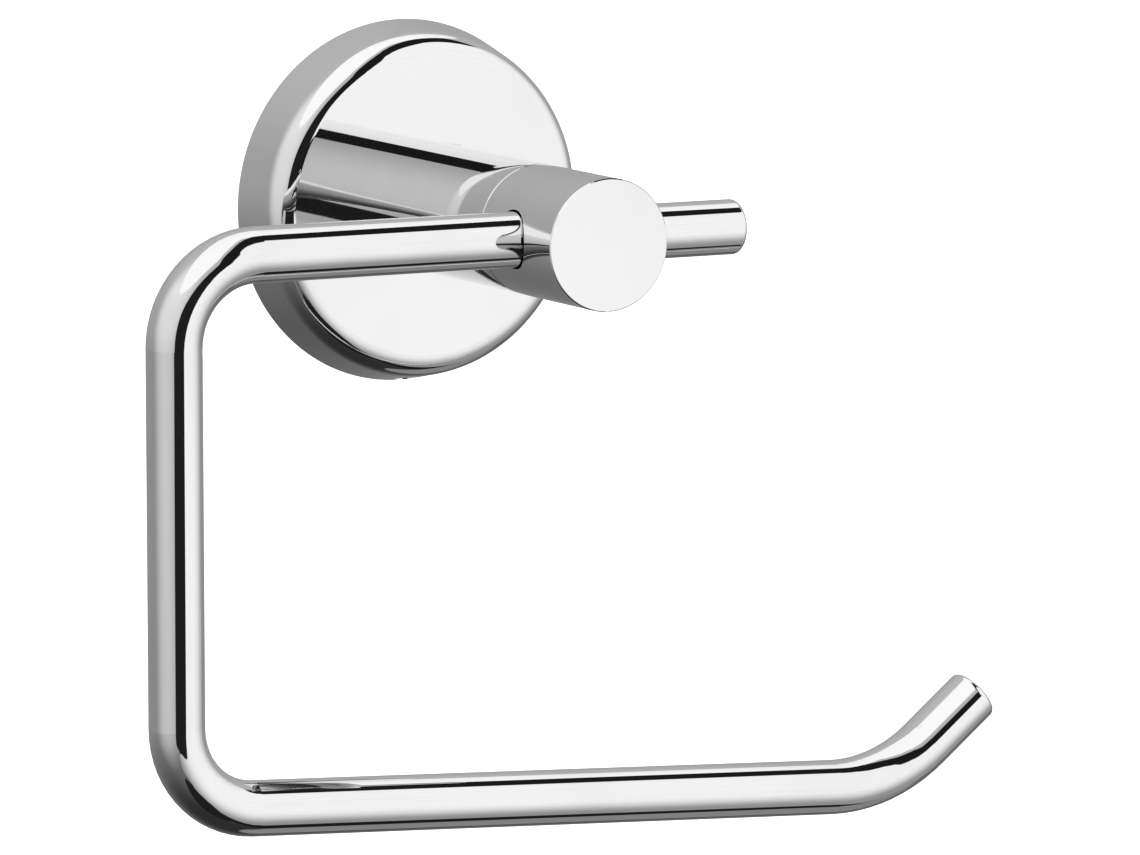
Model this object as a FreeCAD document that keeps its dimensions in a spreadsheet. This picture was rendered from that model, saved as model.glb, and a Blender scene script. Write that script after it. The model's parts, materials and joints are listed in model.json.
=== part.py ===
import FreeCAD, Part
import math
import os
import Sketcher

# Wall-mounted toilet paper holder: a round flange hides a mounting plate, a two-piece post stands
# out of it, and a bent rod pivots in a cross-bore near the post's end.
# Frame: origin on the wall at the post's axis, +Z up, +X to the right facing the wall, -Y into
# the room. A "depth" is a distance from the wall, so it runs along -Y. Millimetres throughout.

doc = FreeCAD.newDocument("ToiletPaperHolder")
sheet = doc.addObject("Spreadsheet::Sheet", "Sizes")

# ---------------------------------------------------------------- driving dimensions
DIMENSIONS = (
    # roll arm: one bent rod
    ("rod_diameter", 8.0),
    ("rod_axis_depth", 51.0),
    ("stub_reach", 27.6),
    ("bar_reach", 62.5),
    ("arm_drop", 77.8),
    ("bar_lean", 0.44),
    ("arm_droop", 3.0),
    ("bend_radius", 12.4),
    ("tip_reach", 53.4),
    ("tip_rise", 38.8),
    ("tip_length", 20.2),
    ("tip_bend_radius", 23.6),
    ("rod_end_break", 0.9),
    # how far the arm swings away from the wall, and back towards it, in degrees
    ("swing_out", 95.0),
    ("swing_in", 5.0),
    ("slot_width", 3.3),
    ("slot_depth", 1.6),
    ("slot_play", 1.5),
    # post: neck and head share one diameter
    ("post_diameter", 19.0),
    ("post_reach", 63.1),
    ("joint_depth", 42.4),
    ("joint_break", 0.15),
    ("spigot_diameter", 12.0),
    ("spigot_length", 9.0),
    ("spigot_end_gap", 2.0),
    ("bore_mouth", 0.4),
    ("bore_mouth_length", 1.9),
    # flange: a turned cup with its open side on the wall
    ("flange_diameter", 53.6),
    ("flange_depth", 9.4),
    ("flange_taper", 1.9),
    ("flange_edge_radius", 3.5),
    ("flange_wall", 2.2),
    # mounting plate inside the flange
    ("plate_diameter", 44.0),
    ("plate_thickness", 5.0),
    ("plate_opening", 18.0),
    ("groove_depth", 1.6),
    ("groove_width", 4.0),
    ("groove_floor", 1.8),
    ("wall_hole_spacing", 28.0),
    ("wall_hole_diameter", 4.2),
    ("wall_head_diameter", 7.2),
    # wall screws and plugs
    ("wall_screw_diameter", 3.5),
    ("wall_screw_length", 29.5),
    ("wall_screw_point", 5.0),
    ("wall_screw_tip_radius", 0.3),
    ("cross_slot", 0.9),
    ("cross_reach", 1.9),
    ("cross_depth", 1.8),
    ("plug_diameter", 5.0),
    ("plug_length", 25.0),
    ("plug_slit", 0.8),
    ("plug_collar", 7.0),
    ("plug_slit_margin", 0.5),
    ("plug_barb_pitch", 2.2),
    ("plug_barb_depth", 0.35),
    ("plug_nose_bridge", 3.0),
    ("plug_nose_break", 0.3),
    # lug and grub screw that hold the flange on the plate
    ("lug_reach", 3.4),
    ("lug_thickness", 1.6),
    ("lug_sweep", 50.0),
    ("boss_width", 9.0),
    ("boss_gap", 0.9),
    ("wall_bite", 0.6),
    ("grub_diameter", 4.0),
    ("grub_sink", 0.5),
    ("grub_tip_diameter", 1.2),
    ("grub_point", 2.1),
    ("grub_socket", 2.0),
    ("grub_tip_gap", 0.1),
    # screw that ties the neck to the flange
    ("tie_diameter", 6.0),
    ("tie_head_diameter", 9.8),
    ("tie_head_height", 3.2),
    ("tie_length", 15.0),
    ("tie_hole_extra", 2.0),
    ("tie_socket", 4.0),
    ("tie_head_break", 0.4),
    ("tie_point_break", 0.8),
    ("washer_diameter", 12.0),
    ("washer_thickness", 1.0),
    ("spring_washer_diameter", 11.0),
    ("spring_washer_thickness", 1.2),
    ("spring_washer_slit", 1.0),
    ("dowel_diameter", 2.0),
    ("dowel_length", 6.0),
    ("dowel_offset", 7.2),
    ("dowel_lift", 0.4),
    # keeper: a pin in the rod's slot and the grub screw behind it
    ("keeper_nose", 3.0),
    ("keeper_shoulder", 3.6),
    ("keeper_screw_break", 0.5),
    ("keeper_collar", 4.8),
    ("keeper_collar_length", 2.0),
    ("keeper_screw_diameter", 5.0),
    ("keeper_screw_length", 6.0),
    ("keeper_socket", 2.5),
    # clearances, on the radius
    ("running_gap", 0.06),
    ("thread_gap", 0.05),
    ("through_gap", 0.2),
    # how far a cutting outline runs past the metal that it cuts
    ("overrun", 0.5),
)
PLUG_BARBS = 7
for row, (alias, number) in enumerate(DIMENSIONS, start=1):
    sheet.set(f"A{row}", alias)
    sheet.set(f"B{row}", str(number))
    sheet.setAlias(f"B{row}", alias)
doc.recompute()
working = doc.addObject("Spreadsheet::Sheet", "Working")


def size(alias):
    """The expression that reads one driving dimension."""
    return f"Sizes.{alias}"


def half(alias):
    return f"Sizes.{alias} / 2"


def number(expression):
    """The present value of an expression, to place a sketch before its constraints act."""
    working.set("A1", f"={expression}")
    working.recompute()
    found = working.get("A1")
    return float(getattr(found, "Value", found))


# ---------------------------------------------------------------- derived places
# Depths run along -Y, so each is written with its sign where a sketch needs it.
rod_radius = half("rod_diameter")
post_radius = half("post_diameter")
flange_radius = half("flange_diameter")
plate_radius = half("plate_diameter")
flange_inside = f"{flange_radius} - {size('flange_wall')}"
flange_floor = f"({size('flange_depth')} - {size('flange_wall')})"
groove_centre = half("plate_thickness")
bore_radius = f"({rod_radius} + {size('running_gap')})"
keeper_tip = f"({size('rod_axis_depth')} - {rod_radius} + {size('slot_depth')} - {size('through_gap')})"
keeper_step = f"({size('rod_axis_depth')} - {rod_radius} - {size('keeper_shoulder')})"
spigot_end = f"({size('joint_depth')} - {size('spigot_length')})"
tie_seat = (
    f"({flange_floor} - {size('washer_thickness')} - {size('spring_washer_thickness')})"
)


# ---------------------------------------------------------------- sketch and feature helpers
def new_body(name):
    body = doc.addObject("PartDesign::Body", name)
    body.Label = name
    return body


def base_plane(body, role):
    for feature in body.Origin.OriginFeatures:
        if feature.Role == role:
            return feature
    raise ValueError(f"{body.Name} has no {role}")


def new_sketch(body, name, role, offset=None, tilt=None):
    """Sketch on one of the body's base planes, moved along the plane's own axes by expressions."""
    sketch = body.newObject("Sketcher::SketchObject", name)
    sketch.AttachmentSupport = (base_plane(body, role), "")
    sketch.MapMode = "FlatFace"
    for axis, expression in (offset or {}).items():
        sketch.setExpression(f"AttachmentOffset.Base.{axis}", expression)
    if tilt:
        sketch.AttachmentOffset = FreeCAD.Placement(
            sketch.AttachmentOffset.Base, FreeCAD.Rotation(FreeCAD.Vector(1, 0, 0), 1)
        )
        sketch.setExpression("AttachmentOffset.Rotation.Angle", tilt)
    doc.recompute()
    return sketch


def pin_point(sketch, index, position, point):
    """Hold one sketch point at a place given by two expressions."""
    for kind, expression, axis in (("DistanceX", point[0], -2), ("DistanceY", point[1], -1)):
        value = number(expression)
        if abs(value) < 1e-9:
            sketch.addConstraint(Sketcher.Constraint("PointOnObject", index, position, axis))
            continue
        constraint = sketch.addConstraint(
            Sketcher.Constraint(kind, -1, 1, index, position, value)
        )
        sketch.setExpression(f"Constraints[{constraint}]", expression)


def draw_outline(sketch, points, closed=True):
    """Straight lines through the points, each point held by its expressions."""
    places = [FreeCAD.Vector(number(x), number(y), 0) for x, y in points]
    count = len(places)
    first = sketch.GeometryCount
    for k in range(count if closed else count - 1):
        sketch.addGeometry(Part.LineSegment(places[k], places[(k + 1) % count]), False)
    for k in range(count if closed else count - 2):
        after = (k + 1) % count
        sketch.addConstraint(Sketcher.Constraint("Coincident", first + k, 2, first + after, 1))
    for k, point in enumerate(points):
        if closed or k < count - 1:
            pin_point(sketch, first + k, 1, point)
        else:
            pin_point(sketch, first + k - 1, 2, point)


def draw_circle(sketch, centre, radius):
    place = FreeCAD.Vector(number(centre[0]), number(centre[1]), 0)
    index = sketch.addGeometry(
        Part.Circle(place, FreeCAD.Vector(0, 0, 1), number(radius)), False
    )
    pin_point(sketch, index, 3, centre)
    constraint = sketch.addConstraint(Sketcher.Constraint("Radius", index, number(radius)))
    sketch.setExpression(f"Constraints[{constraint}]", radius)


def draw_rectangle(sketch, low, high):
    draw_outline(sketch, [low, (high[0], low[1]), high, (low[0], high[1])])


def draw_hexagon(sketch, centre, across_flats):
    radius = f"({across_flats} / 2 / cos(30 deg))"
    corners = [
        (f"{centre[0]} + {radius} * cos({60 * k} deg)", f"{centre[1]} + {radius} * sin({60 * k} deg)")
        for k in range(6)
    ]
    draw_outline(sketch, corners)


def turn(body, name, points, role="XY_Plane", offset=None):
    """Solid of revolution about the sketch's vertical axis: points are (radius, along) pairs."""
    sketch = new_sketch(body, f"{name}_outline", role, offset)
    draw_outline(sketch, points)
    solid = body.newObject("PartDesign::Revolution", name)
    solid.Profile = sketch
    solid.ReferenceAxis = (sketch, ["V_Axis"])
    solid.Angle = 360
    sketch.Visibility = False
    doc.recompute()
    return solid


def cut(body, name, sketch, length=None, reverse=False, both=False):
    """Pocket from a sketch; it fails loudly if it removes nothing."""
    before = body.Shape.Volume
    pocket = body.newObject("PartDesign::Pocket", name)
    pocket.Profile = sketch
    pocket.Reversed = reverse
    pocket.Midplane = both
    if length:
        pocket.Type = "Length"
        pocket.setExpression("Length", length)
    else:
        pocket.Type = "ThroughAll"
    sketch.Visibility = False
    doc.recompute()
    if body.Shape.Volume > before - 1e-3:
        raise ValueError(f"{name} removes nothing")
    return pocket


def edges_at(shape, radius, along, axis="y", tolerance=0.02):
    """Names of the full circular edges of one radius at one level."""
    names = []
    for k, edge in enumerate(shape.Edges, start=1):
        curve = edge.Curve
        if curve.TypeId != "Part::GeomCircle":
            continue
        if abs(curve.Radius - radius) < tolerance and abs(getattr(curve.Center, axis) - along) < tolerance:
            names.append(f"Edge{k}")
    if not names:
        raise ValueError(f"no circular edge of radius {radius:.2f} at {axis} {along:.2f}")
    return names


def soften(body, kind, name, base, edges, measure):
    """Fillet or chamfer named edges of a feature."""
    feature = body.newObject(f"PartDesign::{kind}", name)
    feature.Base = (base, edges)
    feature.setExpression("Radius" if kind == "Fillet" else "Size", measure)
    doc.recompute()
    return feature


def mirrored_pair(name, body):
    """The body and its mirror image below it, as one node of two solids."""
    twin = doc.addObject("Part::Mirroring", f"{name}_lower")
    twin.Source = body
    twin.Normal = FreeCAD.Vector(0, 0, 1)
    pair = doc.addObject("Part::Compound", name)
    pair.Links = [body, twin]
    pair.Label = name
    body.Label = f"{name}_upper"
    doc.recompute()
    return pair


nodes = []


# ---------------------------------------------------------------- wall plate
plate = new_body("wall_plate")
nodes.append(plate)
turn(
    plate,
    "plate_disc",
    [
        (half("plate_opening"), "0"),
        (plate_radius, "0"),
        (plate_radius, f"-({groove_centre} - {half('groove_width')})"),
        (f"{plate_radius} - {size('groove_depth')}", f"-({groove_centre} - {half('groove_floor')})"),
        (f"{plate_radius} - {size('groove_depth')}", f"-({groove_centre} + {half('groove_floor')})"),
        (plate_radius, f"-({groove_centre} + {half('groove_width')})"),
        (plate_radius, f"-{size('plate_thickness')}"),
        (half("plate_opening"), f"-{size('plate_thickness')}"),
    ],
)
sink_depth = f"({size('wall_head_diameter')} - {size('wall_hole_diameter')}) / 2"
for side, word in ((1, "upper"), (-1, "lower")):
    height = f"{side} * {half('wall_hole_spacing')}"
    before = plate.Shape.Volume
    sketch = new_sketch(plate, f"{word}_hole_outline", "XY_Plane", {"z": height})
    draw_outline(
        sketch,
        [
            ("0", size("overrun")),
            (half("wall_hole_diameter"), size("overrun")),
            (
                half("wall_hole_diameter"),
                f"-({size('plate_thickness')} - {sink_depth})",
            ),
            (half("wall_head_diameter"), f"-{size('plate_thickness')}"),
            (half("wall_head_diameter"), f"-({size('plate_thickness')} + {size('overrun')})"),
            ("0", f"-({size('plate_thickness')} + {size('overrun')})"),
        ],
    )
    hole = plate.newObject("PartDesign::Groove", f"{word}_hole")
    hole.Profile = sketch
    hole.ReferenceAxis = (sketch, ["V_Axis"])
    hole.Angle = 360
    sketch.Visibility = False
    doc.recompute()
    if plate.Shape.Volume > before - 1e-3:
        raise ValueError("a plate hole removes nothing")

# ---------------------------------------------------------------- wall screws and plugs
screw_top = f"-{size('plate_thickness')}"
screw_tip = f"({size('wall_screw_length')} - {size('plate_thickness')})"
screw_head_radius = f"({half('wall_head_diameter')} - {size('thread_gap')})"
screw_neck = f"-({size('plate_thickness')} - {screw_head_radius} + {half('wall_screw_diameter')})"
wall_screw = new_body("wall_screw_body")
turn(
    wall_screw,
    "screw_outline",
    [
        ("0", screw_top),
        (screw_head_radius, screw_top),
        (half("wall_screw_diameter"), screw_neck),
        (half("wall_screw_diameter"), f"{screw_tip} - {size('wall_screw_point')}"),
        (size("wall_screw_tip_radius"), screw_tip),
        ("0", screw_tip),
    ],
    offset={"z": half("wall_hole_spacing")},
)
cross_arms = (
    (size("cross_reach"), half("cross_slot")),
    (half("cross_slot"), size("cross_reach")),
)
for k, (wide, tall) in enumerate(cross_arms):
    cross = new_sketch(wall_screw, f"cross_{k}", "XZ_Plane", {"z": size("plate_thickness")})
    middle = half("wall_hole_spacing")
    draw_rectangle(
        cross, (f"-({wide})", f"{middle} - ({tall})"), (wide, f"{middle} + ({tall})")
    )
    cut(wall_screw, f"cross_cut_{k}", cross, size("cross_depth"))
nodes.append(mirrored_pair("wall_screws", wall_screw))

plug_bore = f"({half('wall_screw_diameter')} + {size('thread_gap')})"
wall_plug = new_body("wall_plug_body")
plug_root = f"({half('plug_diameter')} - {size('plug_barb_depth')})"
plug_outline = [
    (plug_bore, "0"),
    (half("plug_diameter"), "0"),
    (half("plug_diameter"), size("plug_collar")),
]
for barb in range(1, PLUG_BARBS + 1):
    along = f"({size('plug_collar')} + {barb} * {size('plug_barb_pitch')})"
    plug_outline.append((plug_root, along))
    if barb < PLUG_BARBS:
        plug_outline.append((half("plug_diameter"), along))
plug_outline += [
    (plug_root, f"({size('plug_length')} - {size('plug_nose_break')})"),
    (f"({plug_root} - {size('plug_nose_break')})", size("plug_length")),
    (plug_bore, size("plug_length")),
]
turn(wall_plug, "plug_sleeve", plug_outline, offset={"z": half("wall_hole_spacing")})
slit = new_sketch(wall_plug, "slit_outline", "YZ_Plane")
draw_rectangle(
    slit,
    (
        f"{size('plug_collar')} + {size('plug_slit_margin')}",
        f"{half('wall_hole_spacing')} - {half('plug_slit')}",
    ),
    (
        f"{size('plug_length')} - {size('plug_nose_bridge')}",
        f"{half('wall_hole_spacing')} + {half('plug_slit')}",
    ),
)
cut(wall_plug, "slit", slit, both=True)
nodes.append(mirrored_pair("wall_plugs", wall_plug))

# ---------------------------------------------------------------- flange cover
cover = new_body("flange_cover")
nodes.append(cover)
face = f"-{size('flange_depth')}"
floor_level = f"-{flange_floor}"
tie_hole = f"({half('tie_diameter')} + {size('through_gap')})"
taper_rate = f"{size('flange_taper')} / {size('flange_depth')}"
inside_at_floor = f"({flange_inside} - {taper_rate} * {flange_floor})"
shell = turn(
    cover,
    "cover_shell",
    [
        (flange_radius, "0"),
        (f"{flange_radius} - {size('flange_taper')}", face),
        (tie_hole, face),
        (tie_hole, floor_level),
        (inside_at_floor, floor_level),
        (flange_inside, "0"),
    ],
)
rim_radius = number(f"{flange_radius} - {size('flange_taper')}")
front_edge = edges_at(cover.Shape, rim_radius, -number(size("flange_depth")))
rounded = soften(cover, "Fillet", "front_round", shell, front_edge, size("flange_edge_radius"))
inner_edge = edges_at(cover.Shape, number(inside_at_floor), -number(flange_floor))
soften(
    cover,
    "Fillet",
    "inner_round",
    rounded,
    inner_edge,
    f"{size('flange_edge_radius')} - {size('flange_wall')}",
)

boss_sketch = new_sketch(cover, "boss_outline", "XZ_Plane")
draw_rectangle(
    boss_sketch,
    (f"-{half('boss_width')}", f"-({flange_inside} + {size('wall_bite')})"),
    (half("boss_width"), f"-({plate_radius} + {size('boss_gap')})"),
)
boss = cover.newObject("PartDesign::Pad", "grub_boss")
boss.Profile = boss_sketch
boss.setExpression("Length", size("plate_thickness"))
boss_sketch.Visibility = False
doc.recompute()

lug_sketch = new_sketch(cover, "lug_outline", "YZ_Plane")
lug_low = f"({flange_inside} + {size('wall_bite')} - {size('lug_reach')})"
draw_rectangle(
    lug_sketch,
    (f"-({groove_centre} + {half('lug_thickness')})", lug_low),
    (f"-({groove_centre} - {half('lug_thickness')})", f"{flange_inside} + {size('wall_bite')}"),
)
lug = cover.newObject("PartDesign::Revolution", "hook_lug")
lug.Profile = lug_sketch
lug.ReferenceAxis = (lug_sketch, ["H_Axis"])
lug.Midplane = True
lug.setExpression("Angle", size("lug_sweep"))
lug_sketch.Visibility = False
doc.recompute()

grub_hole = new_sketch(cover, "grub_hole_outline", "XY_Plane")
draw_circle(grub_hole, ("0", f"-{groove_centre}"), f"{half('grub_diameter')} + {size('thread_gap')}")
cut(cover, "grub_hole", grub_hole)

dowel_radius = half("dowel_diameter")
dowel_hole = new_sketch(cover, "dowel_hole_outline", "XZ_Plane")
draw_circle(dowel_hole, ("0", size("dowel_offset")), f"{dowel_radius} + {size('thread_gap')}")
cut(cover, "dowel_hole", dowel_hole, reverse=True)

# ---------------------------------------------------------------- grub screw in the flange's rim
grub = new_body("flange_grub_screw")
nodes.append(grub)
grub_radius = half("grub_diameter")
grub_back = f"-({flange_radius} - {taper_rate} * {groove_centre} - {size('grub_sink')})"
grub_tip = f"-({plate_radius} - {size('groove_depth')} + {size('grub_tip_gap')})"
grub_cone = f"({grub_tip} - {size('grub_point')})"
turn(
    grub,
    "grub_outline",
    [
        ("0", grub_back),
        (grub_radius, grub_back),
        (grub_radius, grub_cone),
        (half("grub_tip_diameter"), grub_tip),
        ("0", grub_tip),
    ],
    role="XZ_Plane",
    offset={"z": groove_centre},
)
grub_hex = new_sketch(grub, "grub_hex_outline", "XY_Plane", {"z": grub_back})
draw_hexagon(grub_hex, ("0", f"-{groove_centre}"), size("grub_socket"))
cut(grub, "grub_hex", grub_hex, size("grub_socket"), reverse=True)

# ---------------------------------------------------------------- post neck
neck = new_body("post_neck")
nodes.append(neck)
spigot_bore = f"({half('spigot_diameter')} + {size('thread_gap')})"
tie_bore = f"({half('tie_diameter')} + {size('thread_gap')})"
tie_bore_end = f"({tie_seat} + {size('tie_length')} + {size('tie_hole_extra')})"
turn(
    neck,
    "neck_bar",
    [
        (tie_bore, face),
        (post_radius, face),
        (post_radius, f"-({size('joint_depth')} - {size('joint_break')})"),
        (f"{post_radius} - {size('joint_break')}", f"-{size('joint_depth')}"),
        (spigot_bore, f"-{size('joint_depth')}"),
        (spigot_bore, f"-({spigot_end} - {size('spigot_end_gap')})"),
        ("0", f"-({spigot_end} - {size('spigot_end_gap')})"),
        ("0", f"-{tie_bore_end}"),
        (tie_bore, f"-{tie_bore_end}"),
    ],
)
neck_dowel = new_sketch(neck, "neck_dowel_outline", "XZ_Plane", {"z": size("flange_depth")})
draw_circle(neck_dowel, ("0", size("dowel_offset")), f"{dowel_radius} + {size('thread_gap')}")
cut(neck, "neck_dowel_hole", neck_dowel, size("dowel_length"), reverse=True)

# ---------------------------------------------------------------- dowel, tie screw and washers
dowel = doc.addObject("Part::Cylinder", "locating_pin")
dowel.Label = "locating_pin"
nodes.append(dowel)
dowel.setExpression("Radius", dowel_radius)
dowel.setExpression("Height", size("dowel_length"))
dowel.Placement = FreeCAD.Placement(
    FreeCAD.Vector(), FreeCAD.Rotation(FreeCAD.Vector(1, 0, 0), 90)
)
dowel.setExpression("Placement.Base.y", f"-({flange_floor} + {size('dowel_lift')})")
dowel.setExpression("Placement.Base.z", size("dowel_offset"))

tie = new_body("post_screw")
nodes.append(tie)
tie_head_end = f"({tie_seat} - {size('tie_head_height')})"
tie_end = f"({tie_seat} + {size('tie_length')})"
turn(
    tie,
    "tie_outline",
    [
        ("0", f"-{tie_head_end}"),
        (f"{half('tie_head_diameter')} - {size('tie_head_break')}", f"-{tie_head_end}"),
        (half("tie_head_diameter"), f"-({tie_head_end} + {size('tie_head_break')})"),
        (half("tie_head_diameter"), f"-{tie_seat}"),
        (half("tie_diameter"), f"-{tie_seat}"),
        (half("tie_diameter"), f"-({tie_end} - {size('tie_point_break')})"),
        (f"{half('tie_diameter')} - {size('tie_point_break')}", f"-{tie_end}"),
        ("0", f"-{tie_end}"),
    ],
)
tie_hex = new_sketch(tie, "tie_hex_outline", "XZ_Plane", {"z": tie_head_end})
draw_hexagon(tie_hex, ("0", "0"), size("tie_socket"))
cut(tie, "tie_hex", tie_hex, half("tie_socket"), reverse=True)

washer = new_body("post_washer")
nodes.append(washer)
washer_face = f"({flange_floor} - {size('washer_thickness')})"
turn(
    washer,
    "washer_outline",
    [
        (tie_hole, floor_level),
        (half("washer_diameter"), floor_level),
        (half("washer_diameter"), f"-{washer_face}"),
        (tie_hole, f"-{washer_face}"),
    ],
)

spring_washer = new_body("post_spring_washer")
nodes.append(spring_washer)
turn(
    spring_washer,
    "spring_washer_outline",
    [
        (f"{half('tie_diameter')} + {size('through_gap')}", f"-{tie_seat}"),
        (half("spring_washer_diameter"), f"-{tie_seat}"),
        (half("spring_washer_diameter"), f"-{washer_face}"),
        (f"{half('tie_diameter')} + {size('through_gap')}", f"-{washer_face}"),
    ],
)
slit_sketch = new_sketch(spring_washer, "washer_slit_outline", "XZ_Plane")
draw_rectangle(
    slit_sketch,
    ("0", f"-{half('spring_washer_slit')}"),
    (size("spring_washer_diameter"), half("spring_washer_slit")),
)
cut(spring_washer, "washer_slit", slit_sketch, reverse=True)

# ---------------------------------------------------------------- post head
head = new_body("post_head")
nodes.append(head)
keeper_hole = f"({half('keeper_screw_diameter')} + {size('thread_gap')})"
nose_hole = f"({half('keeper_nose')} + {size('running_gap')})"
turn(
    head,
    "head_bar",
    [
        (keeper_hole, f"-{spigot_end}"),
        (half("spigot_diameter"), f"-{spigot_end}"),
        (half("spigot_diameter"), f"-{size('joint_depth')}"),
        (f"{post_radius} - {size('joint_break')}", f"-{size('joint_depth')}"),
        (post_radius, f"-({size('joint_depth')} + {size('joint_break')})"),
        (post_radius, f"-({size('post_reach')} - {size('joint_break')})"),
        (f"{post_radius} - {size('joint_break')}", f"-{size('post_reach')}"),
        ("0", f"-{size('post_reach')}"),
        ("0", f"-{size('rod_axis_depth')}"),
        (nose_hole, f"-{size('rod_axis_depth')}"),
        (nose_hole, f"-{keeper_step}"),
        (keeper_hole, f"-{keeper_step}"),
    ],
)
bore_sketch = new_sketch(head, "cross_bore_outline", "YZ_Plane")
draw_circle(bore_sketch, (f"-{size('rod_axis_depth')}", "0"), bore_radius)
cut(head, "cross_bore", bore_sketch, both=True)
for side, word in ((1, "right"), (-1, "left")):
    before = head.Shape.Volume
    mouth = new_sketch(head, f"{word}_mouth_outline", "XZ_Plane", {"z": size("rod_axis_depth")})
    inner = f"{side} * ({post_radius} - {size('bore_mouth_length')})"
    outer = f"{side} * ({post_radius} + {size('running_gap')})"
    draw_outline(
        mouth,
        [
            (inner, "0"),
            (outer, "0"),
            (outer, f"{bore_radius} + {size('bore_mouth')}"),
            (inner, bore_radius),
        ],
    )
    groove = head.newObject("PartDesign::Groove", f"{word}_mouth")
    groove.Profile = mouth
    groove.ReferenceAxis = (mouth, ["H_Axis"])
    groove.Angle = 360
    mouth.Visibility = False
    doc.recompute()
    if head.Shape.Volume > before - 1e-3:
        raise ValueError("a bore mouth removes nothing")

# ---------------------------------------------------------------- keeper pin and keeper screw
keeper = new_body("keeper_pin")
nodes.append(keeper)
collar_back = f"({keeper_step} - {size('keeper_collar_length')})"
turn(
    keeper,
    "keeper_outline",
    [
        ("0", f"-{collar_back}"),
        (half("keeper_collar"), f"-{collar_back}"),
        (half("keeper_collar"), f"-{keeper_step}"),
        (half("keeper_nose"), f"-{keeper_step}"),
        (half("keeper_nose"), f"-{keeper_tip}"),
        ("0", f"-{keeper_tip}"),
    ],
)

keeper_screw = new_body("keeper_screw")
nodes.append(keeper_screw)
keeper_back = f"({collar_back} - {size('keeper_screw_length')})"
turn(
    keeper_screw,
    "keeper_screw_outline",
    [
        ("0", f"-{keeper_back}"),
        (half("keeper_screw_diameter"), f"-{keeper_back}"),
        (half("keeper_screw_diameter"), f"-({collar_back} - {size('keeper_screw_break')})"),
        (f"{half('keeper_screw_diameter')} - {size('keeper_screw_break')}", f"-{collar_back}"),
        ("0", f"-{collar_back}"),
    ],
)
keeper_hex = new_sketch(keeper_screw, "keeper_hex_outline", "XZ_Plane", {"z": keeper_back})
draw_hexagon(keeper_hex, ("0", "0"), size("keeper_socket"))
cut(keeper_screw, "keeper_hex", keeper_hex, size("keeper_socket"), reverse=True)

# ---------------------------------------------------------------- roll arm
arm = new_body("roll_arm")
nodes.append(arm)
spine = new_sketch(arm, "arm_spine", "XZ_Plane", {"z": size("rod_axis_depth")})
corner_x = f"(-{size('bar_reach')} + {size('arm_drop')} * tan({size('bar_lean')} * 1 deg))"
tip_z = f"(-{size('arm_drop')} - ({size('tip_reach')} - {corner_x}) * tan({size('arm_droop')} * 1 deg))"
spine_points = [
    (size("stub_reach"), "0"),
    (f"-{size('bar_reach')}", "0"),
    (corner_x, f"-{size('arm_drop')}"),
    (size("tip_reach"), tip_z),
    (
        f"{size('tip_reach')} + {size('tip_length')} * cos({size('tip_rise')} * 1 deg)",
        f"{tip_z} + {size('tip_length')} * sin({size('tip_rise')} * 1 deg)",
    ),
]
draw_outline(spine, spine_points, closed=False)
for corner, bend in ((0, "bend_radius"), (1, "bend_radius"), (2, "tip_bend_radius")):
    before = spine.GeometryCount
    spine.fillet(corner, 2, number(size(bend)), True, True)
    arcs = [
        k
        for k in range(before, spine.GeometryCount)
        if spine.Geometry[k].TypeId == "Part::GeomArcOfCircle"
    ]
    constraint = spine.addConstraint(
        Sketcher.Constraint("Radius", arcs[0], number(size(bend)))
    )
    spine.setExpression(f"Constraints[{constraint}]", size(bend))
doc.recompute()

section = new_sketch(arm, "arm_section", "YZ_Plane", {"z": size("stub_reach")})
draw_circle(section, (f"-{size('rod_axis_depth')}", "0"), rod_radius)
rod = arm.newObject("PartDesign::AdditivePipe", "arm_rod")
rod.Profile = section
rod.Spine = (spine, [])
spine.Visibility = False
section.Visibility = False
doc.recompute()

ends = []
for end in (spine_points[0], spine_points[-1]):
    at = FreeCAD.Vector(number(end[0]), -number(size("rod_axis_depth")), number(end[1]))
    for k, edge in enumerate(rod.Shape.Edges, start=1):
        if abs(edge.Length - 2 * math.pi * number(rod_radius)) > 0.05:
            continue
        if edge.CenterOfMass.distanceToPoint(at) < 0.05:
            ends.append(f"Edge{k}")
if len(ends) != 2:
    raise ValueError(f"the rod should have two ends, found {ends}")
soften(arm, "Fillet", "end_breaks", rod, ends, size("rod_end_break"))

nose_depth = f"({rod_radius} - {size('slot_depth')} + {size('through_gap')})"
nose_angle = f"(atan({half('keeper_nose')} / {nose_depth}) / 1 deg)"
slot_sweep = f"({size('swing_out')} + {size('swing_in')} + 2 * ({nose_angle} + {size('slot_play')}))"
before = arm.Shape.Volume
slot_sketch = new_sketch(
    arm,
    "slot_outline",
    "XY_Plane",
    {"y": f"-{size('rod_axis_depth')}"},
    tilt=f"({size('swing_out')} - {size('swing_in')}) / 2",
)
draw_rectangle(
    slot_sketch,
    (f"-{half('slot_width')}", f"{rod_radius} - {size('slot_depth')}"),
    (half("slot_width"), f"{rod_radius} + {size('overrun')}"),
)
slot = arm.newObject("PartDesign::Groove", "stop_slot")
slot.Profile = slot_sketch
slot.ReferenceAxis = (slot_sketch, ["H_Axis"])
slot.Midplane = True
slot.setExpression("Angle", slot_sweep)
slot_sketch.Visibility = False
doc.recompute()
if arm.Shape.Volume > before - 1e-3:
    raise ValueError("the stop slot removes nothing")

# ---------------------------------------------------------------- check and write
doc.recompute()
for thing in doc.Objects:
    if "Invalid" in thing.State or "Error" in thing.State:
        raise ValueError(f"{thing.Label} is {thing.State}")
os.makedirs("parts", exist_ok=True)
for node in nodes:
    if node.Shape.isNull() or not node.Shape.isValid():
        raise ValueError(f"{node.Label} has no valid shape")
    node.Shape.exportStep(f"parts/{node.Label}.step")
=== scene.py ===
"""Looks of the toilet paper holder: chromed flange, post and swinging roll arm, in a pale studio."""

import json
import math

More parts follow.
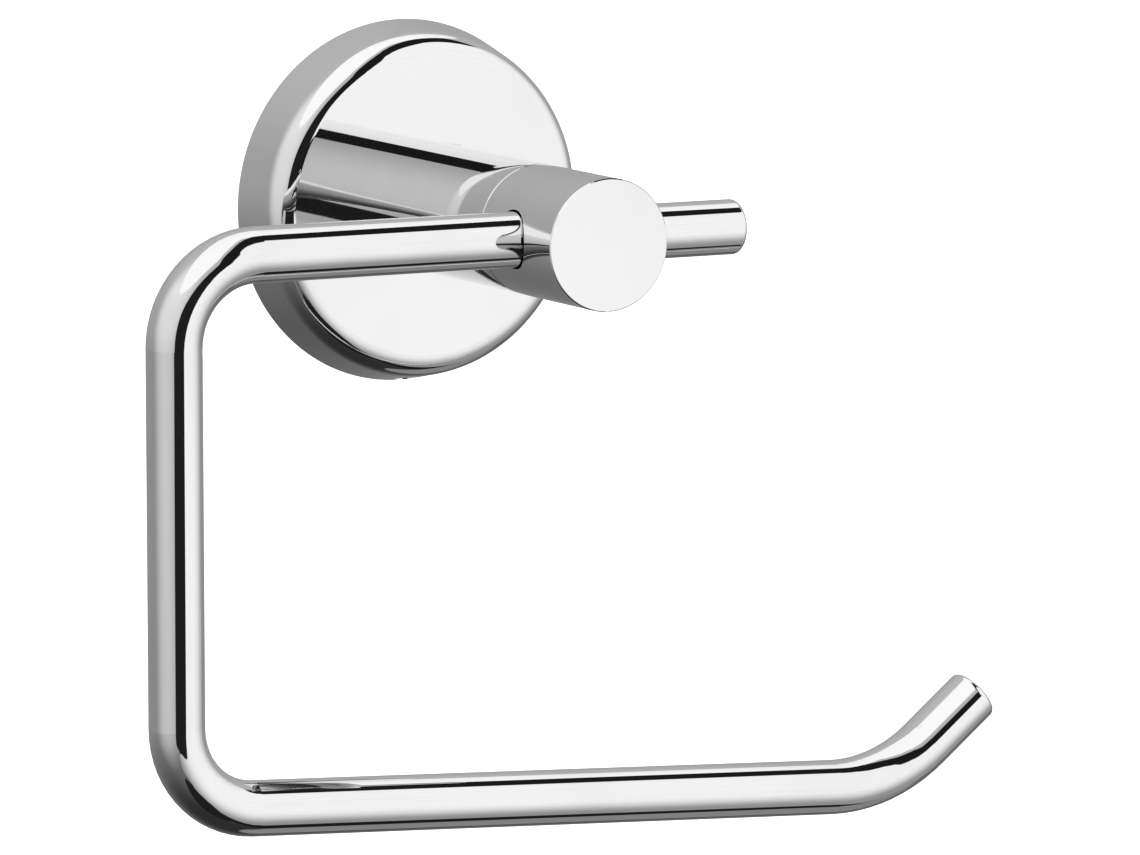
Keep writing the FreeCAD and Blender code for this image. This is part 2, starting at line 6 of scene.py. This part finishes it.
import bpy
from mathutils import Matrix, Vector


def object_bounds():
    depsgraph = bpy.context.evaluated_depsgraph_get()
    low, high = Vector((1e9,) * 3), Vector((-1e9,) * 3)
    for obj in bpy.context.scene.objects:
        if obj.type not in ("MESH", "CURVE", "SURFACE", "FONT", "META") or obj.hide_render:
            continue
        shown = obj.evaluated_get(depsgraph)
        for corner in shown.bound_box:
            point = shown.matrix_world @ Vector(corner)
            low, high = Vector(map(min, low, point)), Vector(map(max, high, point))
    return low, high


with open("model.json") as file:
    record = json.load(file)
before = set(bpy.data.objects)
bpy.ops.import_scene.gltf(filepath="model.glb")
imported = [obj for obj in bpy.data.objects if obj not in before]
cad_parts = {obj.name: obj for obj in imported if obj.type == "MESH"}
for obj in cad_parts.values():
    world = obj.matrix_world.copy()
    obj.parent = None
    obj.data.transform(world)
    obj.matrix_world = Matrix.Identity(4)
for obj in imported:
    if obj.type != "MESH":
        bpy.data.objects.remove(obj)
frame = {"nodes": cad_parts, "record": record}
cad_low, cad_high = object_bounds()
nodes = frame["nodes"]
hinge = Vector(frame["record"]["behaviour"]["joints"][0]["pos_m"])
MM = 0.001
MICRON = 0.001 * MM

# ------------------------------------------------------------------ camera
CAMERA_TURN = math.radians(29.05)
CAMERA_RISE = math.radians(8.05)
CAMERA_ROLL = math.radians(0.35)
CAMERA_DISTANCE = 1.197
CAMERA_LENS = 265.7
CAMERA_SENSOR = 36.0
AIM_RIGHT = 0.35 * MM
AIM_UP = -27.2 * MM

towards = Vector(
    (
        -math.sin(CAMERA_TURN) * math.cos(CAMERA_RISE),
        -math.cos(CAMERA_TURN) * math.cos(CAMERA_RISE),
        math.sin(CAMERA_RISE),
    )
)
level_right = Vector((math.cos(CAMERA_TURN), -math.sin(CAMERA_TURN), 0.0))
level_up = towards.cross(level_right)
right = level_right * math.cos(CAMERA_ROLL) + level_up * math.sin(CAMERA_ROLL)
up = level_up * math.cos(CAMERA_ROLL) - level_right * math.sin(CAMERA_ROLL)
camera_data = bpy.data.cameras.new("camera")
camera_data.lens = CAMERA_LENS
camera_data.sensor_width = CAMERA_SENSOR
camera = bpy.data.objects.new("camera", camera_data)
bpy.context.scene.collection.objects.link(camera)
placed = Matrix((right, up, towards)).transposed().to_4x4()
placed.translation = hinge + right * AIM_RIGHT + up * AIM_UP + towards * CAMERA_DISTANCE
camera.matrix_world = placed
bpy.context.scene.camera = camera


# ------------------------------------------------------------------ node helpers
class Tree:
    """A material's or world's node tree, built one node at a time."""

    def __init__(self, owner):
        owner.use_nodes = True
        self.tree = owner.node_tree
        self.tree.nodes.clear()

    def add(self, kind, inputs=(), **settings):
        node = self.tree.nodes.new(kind)
        for name, value in settings.items():
            setattr(node, name, value)
        for name, value in dict(inputs).items():
            self.feed(node.inputs[name], value)
        return node

    def feed(self, socket, value):
        if isinstance(value, bpy.types.NodeSocket):
            self.tree.links.new(value, socket)
        else:
            socket.default_value = value

    def math(self, operation, *values, clamp=False):
        node = self.add("ShaderNodeMath", operation=operation, use_clamp=clamp)
        for k, value in enumerate(values):
            self.feed(node.inputs[k], value)
        return node.outputs[0]

    def spread(self, value, low, high, out_low, out_high):
        node = self.add("ShaderNodeMapRange", interpolation_type="SMOOTHSTEP")
        for name, number in (
            ("Value", value),
            ("From Min", low),
            ("From Max", high),
            ("To Min", out_low),
            ("To Max", out_high),
        ):
            self.feed(node.inputs[name], number)
        return node.outputs[0]

    def noise(self, where, scale, detail=2.0, stretch=None):
        if stretch is not None:
            mapping = self.add("ShaderNodeMapping", {"Vector": where, "Scale": stretch})
            where = mapping.outputs[0]
        node = self.add(
            "ShaderNodeTexNoise", {"Vector": where, "Scale": scale, "Detail": detail}
        )
        return node.outputs["Fac"]

    def mix(self, amount, first, second):
        node = self.add("ShaderNodeMix", data_type="RGBA")
        self.feed(node.inputs["Factor"], amount)
        self.feed(node.inputs[6], first)
        self.feed(node.inputs[7], second)
        return node.outputs[2]


def finish_material(tree, shader, bump, strength, depth):
    """Give the shader its fine relief, depth in metres, and send it to the output."""
    node = tree.add("ShaderNodeBump", {"Height": bump, "Strength": strength, "Distance": depth})
    tree.feed(shader.inputs["Normal"], node.outputs[0])
    out = tree.add("ShaderNodeOutputMaterial")
    tree.feed(out.inputs["Surface"], shader.outputs[0])


# ------------------------------------------------------------------ materials
CHROME_CLEAN = (0.83, 0.83, 0.83, 1.0)
CHROME_HAZED = (0.80, 0.80, 0.805, 1.0)
CHROME_SPOTTED = (0.70, 0.70, 0.69, 1.0)
CHROME_ROUGHNESS = 0.018
CHROME_HAZE_ROUGHNESS = 0.020
CHROME_WIPE_ROUGHNESS = 0.010
CHROME_SPOT_ROUGHNESS = 0.05
CHROME_RIPPLE = 4 * MICRON
PLATED_GRAIN_SCALE = 900.0
PLATED_GRAIN = 30 * MICRON
PLASTIC_TEXTURE_SCALE = 2200.0
PLASTIC_TEXTURE = 20 * MICRON


def chrome(name, seed):
    """Bright decorative chrome: a mirror with a faint polish haze, wipe marks and water spots."""
    made = bpy.data.materials.new(name)
    tree = Tree(made)
    where = tree.add("ShaderNodeTexCoord").outputs["Object"]
    shifted = tree.add(
        "ShaderNodeMapping", {"Vector": where, "Location": (seed, seed * 0.7, seed * 0.3)}
    ).outputs[0]
    haze = tree.noise(shifted, 55.0, 3.0)
    wiped = tree.noise(shifted, 240.0, 2.0, stretch=(1.0, 1.0, 0.15))
    spots = tree.add(
        "ShaderNodeTexVoronoi", {"Vector": shifted, "Scale": 160.0}, feature="F1"
    ).outputs["Distance"]
    spot = tree.spread(spots, 0.05, 0.11, 1.0, 0.0)
    sparse = tree.spread(haze, 0.56, 0.66, 0.0, 1.0)
    marks = tree.math("MULTIPLY", spot, sparse)
    film = tree.spread(haze, 0.42, 0.70, 0.0, 1.0)
    streaks = tree.spread(wiped, 0.45, 0.75, 0.0, 1.0)
    rough = tree.math("MULTIPLY_ADD", film, CHROME_HAZE_ROUGHNESS, CHROME_ROUGHNESS)
    rough = tree.math("MULTIPLY_ADD", streaks, CHROME_WIPE_ROUGHNESS, rough)
    rough = tree.math("MULTIPLY_ADD", marks, CHROME_SPOT_ROUGHNESS, rough)
    colour = tree.mix(film, CHROME_CLEAN, CHROME_HAZED)
    colour = tree.mix(tree.math("MULTIPLY", marks, 0.4), colour, CHROME_SPOTTED)
    shader = tree.add(
        "ShaderNodeBsdfPrincipled",
        {"Base Color": colour, "Metallic": 1.0, "Roughness": rough},
    )
    ripple = tree.noise(shifted, 120.0, 1.0)
    finish_material(tree, shader, ripple, 0.12, CHROME_RIPPLE)
    return made


def plated(name, light, dark, roughness, seed):
    """Zinc-plated or cast metal: soft grain, tarnish in random patches that are darker and rougher.
    """
    made = bpy.data.materials.new(name)
    tree = Tree(made)
    where = tree.add("ShaderNodeTexCoord").outputs["Object"]
    shifted = tree.add(
        "ShaderNodeMapping", {"Vector": where, "Location": (seed, -seed, seed * 0.5)}
    ).outputs[0]
    patches = tree.spread(tree.noise(shifted, 130.0, 4.0), 0.35, 0.68, 0.0, 1.0)
    fine = tree.noise(shifted, PLATED_GRAIN_SCALE, 4.0)
    colour = tree.mix(patches, light, dark)
    rough = tree.math("MULTIPLY_ADD", patches, 0.12, roughness)
    rough = tree.math("MULTIPLY_ADD", fine, 0.08, rough)
    shader = tree.add(
        "ShaderNodeBsdfPrincipled",
        {"Base Color": colour, "Metallic": 1.0, "Roughness": rough},
    )
    finish_material(tree, shader, fine, 0.5, PLATED_GRAIN)
    return made


def plastic(name, light, dark, roughness, seed):
    """Moulded nylon or acetal: faint flow mottling and a fine eroded texture."""
    made = bpy.data.materials.new(name)
    tree = Tree(made)
    where = tree.add("ShaderNodeTexCoord").outputs["Object"]
    shifted = tree.add(
        "ShaderNodeMapping", {"Vector": where, "Location": (-seed, seed, seed)}
    ).outputs[0]
    flow = tree.spread(tree.noise(shifted, 180.0, 3.0), 0.3, 0.7, 0.0, 1.0)
    fine = tree.noise(shifted, PLASTIC_TEXTURE_SCALE, 3.0)
    rough = tree.math("MULTIPLY_ADD", fine, 0.15, roughness)
    shader = tree.add(
        "ShaderNodeBsdfPrincipled",
        {
            "Base Color": tree.mix(flow, light, dark),
            "Roughness": rough,
            "Subsurface Weight": 0.15,
            "Subsurface Scale": 0.001,
        },
    )
    finish_material(tree, shader, fine, 0.4, PLASTIC_TEXTURE)
    return made


finishes = {
    "flange_cover": chrome("chrome_flange", 1.3),
    "post_neck": chrome("chrome_neck", 2.7),
    "post_head": chrome("chrome_head", 3.1),
    "roll_arm": chrome("chrome_arm", 4.9),
    "wall_plate": plated(
        "cast_zinc_plate", (0.62, 0.62, 0.60, 1), (0.45, 0.46, 0.46, 1), 0.34, 5.2
    ),
    "wall_screws": plated(
        "zinc_wall_screws", (0.72, 0.73, 0.74, 1), (0.55, 0.57, 0.60, 1), 0.24, 6.1
    ),
    "post_screw": plated(
        "zinc_post_screw", (0.70, 0.71, 0.73, 1), (0.52, 0.54, 0.57, 1), 0.24, 7.7
    ),
    "post_washer": plated("zinc_washer", (0.72, 0.73, 0.74, 1), (0.54, 0.56, 0.58, 1), 0.27, 8.4),
    "post_spring_washer": plated(
        "zinc_spring", (0.66, 0.67, 0.69, 1), (0.50, 0.51, 0.54, 1), 0.30, 9.5
    ),
    "locating_pin": plated("steel_pin", (0.74, 0.73, 0.72, 1), (0.60, 0.60, 0.60, 1), 0.20, 10.9),
    "flange_grub_screw": plated(
        "steel_grub", (0.70, 0.69, 0.68, 1), (0.56, 0.56, 0.56, 1), 0.22, 11.6
    ),
    "keeper_screw": plated(
        "steel_keeper_screw", (0.68, 0.68, 0.67, 1), (0.54, 0.54, 0.54, 1), 0.24, 12.8
    ),
    "wall_plugs": plastic("nylon_plugs", (0.58, 0.59, 0.58, 1), (0.50, 0.51, 0.50, 1), 0.42, 13.3),
    "keeper_pin": plastic(
        "acetal_keeper", (0.85, 0.85, 0.82, 1), (0.78, 0.78, 0.75, 1), 0.36, 14.2
    ),
}
for node_name, finish in finishes.items():
    piece = nodes[node_name]
    piece.data.materials.clear()
    piece.data.materials.append(finish)

# ------------------------------------------------------------------ studio
SHELL_RADIUS = 6.0
GLOW_AT = (-34.0, 22.0)
GLOW_LEVEL = 0.42
CARD_STEPS = 10
CARD_LAYERS = 9


def aimed(turn, rise):
    """Direction from the object, turn measured to the picture's right of the camera."""
    t, r = math.radians(turn) - CAMERA_TURN, math.radians(rise)
    return Vector((math.sin(t) * math.cos(r), -math.cos(t) * math.cos(r), math.sin(r)))


def hide_from_camera(obj):
    obj.visible_camera = False
    obj.visible_shadow = False


def make_shell():
    """A round studio surround whose light falls off to the sides, the back and the floor."""
    bpy.ops.mesh.primitive_uv_sphere_add(segments=64, ring_count=32, radius=SHELL_RADIUS)
    shell = bpy.context.object
    shell.name = "studio_surround"
    made = bpy.data.materials.new("studio_surround")
    tree = Tree(made)
    where = tree.add("ShaderNodeTexCoord").outputs["Object"]
    unit = tree.add("ShaderNodeVectorMath", {0: where}, operation="NORMALIZE").outputs[0]
    height = tree.add("ShaderNodeSeparateXYZ", {0: unit}).outputs["Z"]
    low = tree.spread(height, -1.0, -0.45, 0.03, 0.17)
    middle = tree.spread(height, -0.55, 0.15, 0.0, 0.24)
    high = tree.spread(height, 0.1, 1.0, 0.0, 0.16)
    level = tree.math("ADD", tree.math("ADD", low, middle), high)
    near = tree.add(
        "ShaderNodeVectorMath", {0: unit, 1: tuple(aimed(*GLOW_AT))}, operation="DOT_PRODUCT"
    ).outputs["Value"]
    glow = tree.spread(near, 0.45, 0.97, 0.0, GLOW_LEVEL)
    level = tree.math("ADD", level, glow)
    light = tree.add("ShaderNodeEmission", {"Strength": level})
    out = tree.add("ShaderNodeOutputMaterial")
    tree.feed(out.inputs["Surface"], light.outputs[0])
    shell.data.materials.append(made)
    hide_from_camera(shell)


def make_card(name, outline, levels, heart, soft, radius):
    """A card inside the surround: a rounded outline of (turn, rise) points, with a soft edge.

    It has its upper level near its heart and falls to its lower level about 80 degrees away.
    """
    count = len(outline)
    corners = [aimed(*point) for point in outline]
    ring = []
    for k in range(count):
        p0, p1, p2, p3 = (corners[(k + j) % count] for j in (-1, 0, 1, 2))
        for t in (step / CARD_STEPS for step in range(CARD_STEPS)):
            bend = (p2 - p0) * t + (2 * p0 - 5 * p1 + 4 * p2 - p3) * t**2
            ring.append((p1 + 0.5 * (bend + (3 * p1 - p0 - 3 * p2 + p3) * t**3)).normalized())
    middle = sum(ring, Vector()).normalized()
    total = len(ring)
    points, faces = [middle], []
    for layer in range(1, CARD_LAYERS + 1):
        points += [middle.slerp(p, (1.0 - soft) * layer / CARD_LAYERS) for p in ring]
    points += [middle.slerp(p, 1.0 + soft) for p in ring]
    for k in range(total):
        n = (k + 1) % total
        faces.append((0, 1 + k, 1 + n))
        for layer in range(CARD_LAYERS):
            near, far = 1 + layer * total, 1 + (layer + 1) * total
            faces.append((near + k, far + k, far + n, near + n))
    mesh = bpy.data.meshes.new(name)
    mesh.from_pydata([p * radius for p in points], [], faces)
    cover = mesh.color_attributes.new("cover", "FLOAT_COLOR", "POINT")
    for k in range(len(points)):
        shade = 1.0 if k <= CARD_LAYERS * total else 0.0
        cover.data[k].color = (shade, shade, shade, 1.0)
    made = bpy.data.materials.new(name)
    tree = Tree(made)
    amount = tree.add("ShaderNodeAttribute", attribute_name="cover").outputs["Fac"]
    where = tree.add("ShaderNodeTexCoord").outputs["Object"]
    unit = tree.add("ShaderNodeVectorMath", {0: where}, operation="NORMALIZE").outputs[0]
    near = tree.add(
        "ShaderNodeVectorMath", {0: unit, 1: tuple(aimed(*heart))}, operation="DOT_PRODUCT"
    ).outputs["Value"]
    level = tree.spread(near, 0.2, 0.85, *levels)
    uneven = tree.math("MULTIPLY_ADD", tree.noise(where, 4.0, 1.0), 0.16, 0.92)
    level = tree.math("MULTIPLY", level, uneven)
    light = tree.add("ShaderNodeEmission", {"Strength": level})
    clear = tree.add("ShaderNodeBsdfTransparent")
    both = tree.add("ShaderNodeMixShader")
    tree.feed(both.inputs[0], amount)
    tree.feed(both.inputs[1], clear.outputs[0])
    tree.feed(both.inputs[2], light.outputs[0])
    out = tree.add("ShaderNodeOutputMaterial")
    tree.feed(out.inputs["Surface"], both.outputs[0])
    mesh.materials.append(made)
    card = bpy.data.objects.new(name, mesh)
    bpy.context.scene.collection.objects.link(card)
    hide_from_camera(card)


make_shell()
make_card(
    "black_backing",
    [(4, -8), (5, 2), (9, 12), (20, 19), (33, 26), (32, 40), (40, 58), (60, 70), (92, 72),
     (118, 65), (124, 54), (116, 40), (116, 10), (116, -20), (112, -50), (106, -62), (96, -66),
     (60, -64), (30, -54), (14, -40), (9, -26)],
    (0.012, 0.012), (58, 0), 0.01, 5.6,
)
make_card(
    "floor_bounce",
    [(112, -50), (135, -40), (160, -48), (165, -68), (125, -76), (106, -66)],
    (0.26, 0.26), (130, -60), 0.05, 5.4,
)
make_card(
    "soft_box_right",
    [(46, 6), (46, 16), (46, 26), (46, 36), (52, 46), (66, 51), (78, 53), (88, 51), (104, 45),
     (122, 38), (130, 20), (130, -10), (126, -40), (104, -54), (86, -57), (60, -56), (34, -46),
     (14, -34), (4, -30), (5, -22), (14, -20), (26, -19), (38, -13)],
    (0.33, 1.07), (60, 25), 0.015, 5.0,
)
make_card(
    "soft_box_top",
    [(-62, 58), (-30, 36), (-6, 31), (10, 32), (24, 38), (30, 56), (50, 72), (80, 77), (108, 73),
     (119, 62), (132, 51), (150, 44), (172, 54), (-160, 62), (-110, 68)],
    (1.0, 1.15), (10, 60), 0.025, 5.2,
)
make_card(
    "black_flag_front",
    [(4, -6), (5, 2), (10, 12), (24, 19), (38, 12), (46, 0), (38, -13), (26, -19), (12, -20),
     (4, -19), (-2, -17), (-2, -11)],
    (0.015, 0.015), (20, 0), 0.015, 4.6,
)
make_card(
    "black_flag_low",
    [(-2, -38), (10, -36), (31, -40), (38, -52), (46, -64), (10, -68), (-8, -54)],
    (0.015, 0.015), (20, -50), 0.015, 4.6,
)

world = bpy.data.worlds.new("studio")
bpy.context.scene.world = world
tree = Tree(world)
background = tree.add("ShaderNodeBackground", {"Color": (1, 1, 1, 1), "Strength": 1.0})
out = tree.add("ShaderNodeOutputWorld")
tree.feed(out.inputs["Surface"], background.outputs[0])

FLOOR_DROP = 0.12
FLOOR_SIZE = 40.0
bpy.ops.mesh.primitive_plane_add(size=FLOOR_SIZE, location=(0, 0, cad_low.z - FLOOR_DROP))
floor = bpy.context.object
floor.name = "floor"
made = bpy.data.materials.new("pale_floor")
tree = Tree(made)
shader = tree.add(
    "ShaderNodeBsdfPrincipled",
    {
        "Base Color": (0.92, 0.92, 0.92, 1.0),
        "Roughness": 0.9,
        "Emission Color": (1.0, 1.0, 1.0, 1.0),
        "Emission Strength": 0.9,
    },
)
out = tree.add("ShaderNodeOutputMaterial")
tree.feed(out.inputs["Surface"], shader.outputs[0])
floor.data.materials.append(made)
floor.visible_glossy = False
floor.visible_diffuse = False

bpy.context.scene.view_settings.view_transform = "Standard"
